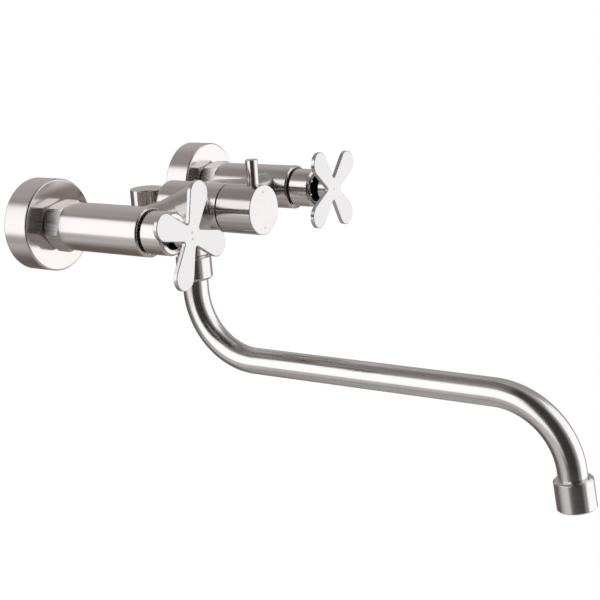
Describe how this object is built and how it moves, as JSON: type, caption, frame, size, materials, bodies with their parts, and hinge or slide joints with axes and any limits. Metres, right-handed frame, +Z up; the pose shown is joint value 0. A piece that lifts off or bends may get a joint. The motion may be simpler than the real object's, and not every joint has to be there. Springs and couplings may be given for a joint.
{
  "type": "bath mixer",
  "caption": "Wall-mounted bath mixer with cross handles that turn, a rotary diverter with a lever pin, a swinging S-bend spout and a hose outlet behind.",
  "frame": {"origin": "on the finished wall, midway between the two wall threads", "axes": "+X to the cold side, +Z up, +Y into the wall; the mixer stands out along -Y"},
  "size_m": [0.207, 0.3337, 0.1872],
  "materials": {
    "brushed_steel": "brushed",
    "polished_steel": "finely brushed",
    "spring_steel": "satin",
    "dark_nickel": "matte plated",
    "brass": "machined",
    "black_rubber": "matte",
    "ceramic": "lapped ceramic",
    "white_plastic": "moulded",
    "grey_plastic": "moulded"
  },
  "bodies": {
    "mixer": {"mixer_body": "brushed_steel", "hose_outlet_nipple": "brass", "hot_flange_cover": "brushed_steel", "hot_wall_union": "brass", "hot_coupling_nut": "brushed_steel", "hot_split_ring": "spring_steel", "hot_inlet_washer": "black_rubber", "hot_seat_seal": "black_rubber", "hot_fixed_disc": "ceramic", "hot_headwork_body": "dark_nickel", "hot_headwork_gasket": "black_rubber", "hot_sleeve": "brushed_steel", "cold_flange_cover": "brushed_steel", "cold_wall_union": "brass", "cold_coupling_nut": "brushed_steel", "cold_split_ring": "spring_steel", "cold_inlet_washer": "black_rubber", "cold_seat_seal": "black_rubber", "cold_fixed_disc": "ceramic", "cold_headwork_body": "dark_nickel", "cold_headwork_gasket": "black_rubber", "cold_sleeve": "brushed_steel", "diverter_housing": "dark_nickel", "diverter_housing_o_ring": "black_rubber", "diverter_port_seal": "black_rubber", "spout_nut": "polished_steel", "spout_slip_ring": "white_plastic"},
    "hot_handle": {"hot_spindle": "spring_steel", "hot_spindle_o_rings": "black_rubber", "hot_moving_disc": "ceramic", "hot_circlip": "spring_steel", "hot_handle_hub": "brushed_steel", "hot_handle_plate": "polished_steel", "hot_grub_screw": "spring_steel"},
    "cold_handle": {"cold_spindle": "spring_steel", "cold_spindle_o_rings": "black_rubber", "cold_moving_disc": "ceramic", "cold_circlip": "spring_steel", "cold_handle_hub": "brushed_steel", "cold_handle_plate": "polished_steel", "cold_grub_screw": "spring_steel"},
    "diverter": {"diverter_spindle": "dark_nickel", "diverter_spindle_o_rings": "black_rubber", "diverter_rotor": "white_plastic", "diverter_rotor_o_ring": "black_rubber", "diverter_knob": "brushed_steel", "diverter_lever_pin": "polished_steel"},
    "spout": {"spout_tail": "brass", "spout_tail_o_rings": "black_rubber", "spout_tube": "polished_steel", "spout_end_collar": "polished_steel", "aerator_washer": "black_rubber", "aerator_insert": "grey_plastic", "aerator_ring": "polished_steel"}
  },
  "joints": [
    {"name": "hot_handle_turn", "type": "hinge", "parent": "mixer", "child": "hot_handle", "pos_m": [-0.075, -0.1175, 0.008], "axis": [0, 1, 0], "range_deg": [-90, 0]},
    {"name": "cold_handle_turn", "type": "hinge", "parent": "mixer", "child": "cold_handle", "pos_m": [0.075, -0.1175, 0.008], "axis": [0, 1, 0], "range_deg": [0, 90]},
    {"name": "diverter_turn", "type": "hinge", "parent": "mixer", "child": "diverter", "pos_m": [0, -0.1074, 0.008], "axis": [0, 1, 0], "range_deg": [0, 90]},
    {"name": "spout_swivel", "type": "hinge", "parent": "mixer", "child": "spout", "pos_m": [0, -0.0568, -0.034], "axis": [0, 0, 1], "range_deg": [-90, 90]}
  ]
}
